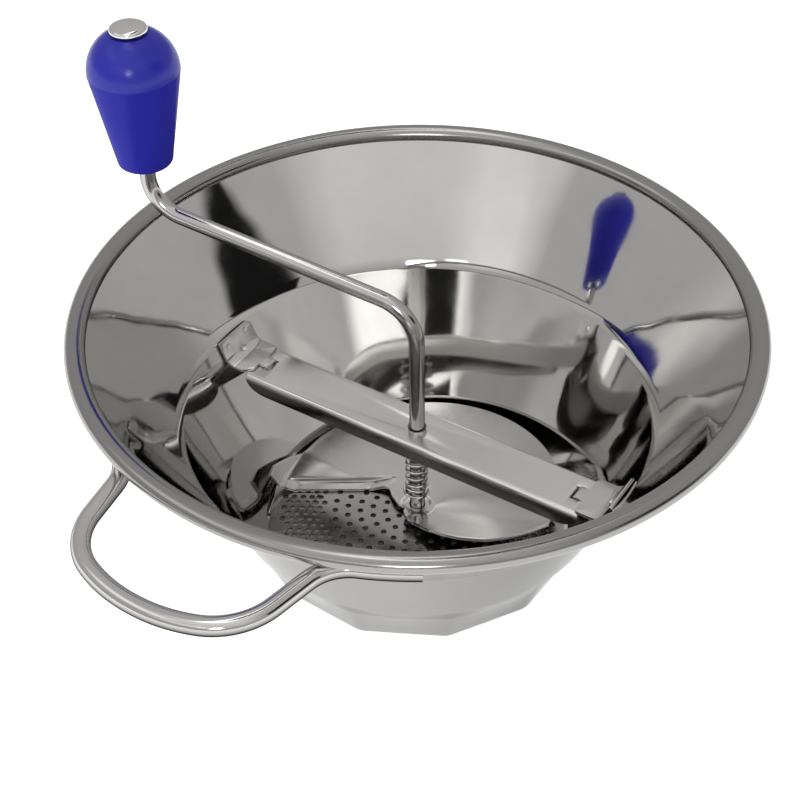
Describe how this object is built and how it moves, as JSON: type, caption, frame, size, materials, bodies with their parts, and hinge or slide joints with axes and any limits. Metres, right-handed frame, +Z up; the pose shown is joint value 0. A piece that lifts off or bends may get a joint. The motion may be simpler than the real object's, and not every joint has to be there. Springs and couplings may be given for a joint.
{
  "type": "food mill",
  "caption": "Hand cranked food mill: flared steel hopper with wire handle, crossbar, sprung crank with blue knob, pressing blade and perforated disc.",
  "frame": {"origin": "centre of the bounding box in plan, at the level the mill stands on", "axes": "+X away from the wire handle, +Y along the crossbar towards the side the crank stands on at rest, +Z up"},
  "size_m": [0.3528, 0.3096, 0.2423],
  "materials": {
    "polished_steel": "mirror polished stainless steel",
    "disc_steel": "polished stainless steel, perforated",
    "blue_plastic": "moulded blue plastic, semi-gloss"
  },
  "bodies": {
    "frame": {"hopper": "polished_steel", "handle": "polished_steel", "bracket_left": "polished_steel", "bracket_right": "polished_steel", "crossbar": "polished_steel", "bar_washer": "polished_steel", "sieve_disc": "disc_steel", "spring": "polished_steel"},
    "spring_seat": {"spring_washer": "polished_steel"},
    "crank": {"crank_rod": "polished_steel", "blade": "polished_steel", "retaining_ring": "polished_steel", "knob_stop": "polished_steel", "knob_cap": "polished_steel"},
    "knob": {"knob": "blue_plastic"}
  },
  "joints": [
    {"name": "shaft_lift", "type": "slide", "parent": "frame", "child": "spring_seat", "axis": [0, 0, 1], "range_m": [0, 0.008], "stiffness_N_per_m": 1200, "springref_m": -0.01, "deforming": ["spring"]},
    {"name": "crank_turn", "type": "hinge", "parent": "spring_seat", "child": "crank", "pos_m": [0.02161, 0, 0], "axis": [0, 0, -1], "continuous": true},
    {"name": "knob_spin", "type": "hinge", "parent": "crank", "child": "knob", "pos_m": [0.00241, 0.13161, 0.2], "axis": [0, 0, 1], "continuous": true}
  ]
}
